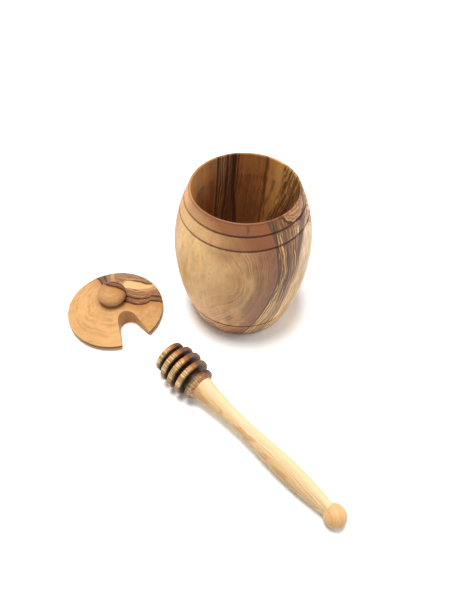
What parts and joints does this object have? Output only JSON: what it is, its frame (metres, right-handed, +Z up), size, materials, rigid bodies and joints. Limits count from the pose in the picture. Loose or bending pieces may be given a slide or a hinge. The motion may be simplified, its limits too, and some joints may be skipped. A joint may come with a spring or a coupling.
{
  "type": "honey pot with loose slotted lid and dipper",
  "caption": "Barrel-shaped turned wooden honey pot with a loose knobbed lid, slotted for the ringed wooden dipper that lies beside it.",
  "frame": {"origin": "centre of the pot's foot, on the table that the pot stands on", "axes": "+Z up along the pot's own axis, out of its mouth; +Y away from the viewer of the picture; +X to the viewer's right"},
  "size_m": [0.1736, 0.2016, 0.1],
  "materials": {
    "pot": "oiled olive wood, satin",
    "lid": "oiled olive wood, satin",
    "dipper_head": "oiled olive wood, satin",
    "dipper_handle": "pale wood, satin"
  },
  "bodies": {
    "pot": {"pot": "pot"},
    "lid": {"lid": "lid"},
    "dipper": {"dipper_head": "dipper_head", "dipper_handle": "dipper_handle"}
  },
  "joints": [
    {"name": "lid_lift", "type": "slide", "parent": "pot", "child": "lid", "axis": [0, 0, 1], "range_m": [0, 0.12]},
    {"name": "dipper_lift", "type": "slide", "parent": "pot", "child": "dipper", "axis": [0, 0, 1], "range_m": [0, 0.12]}
  ]
}
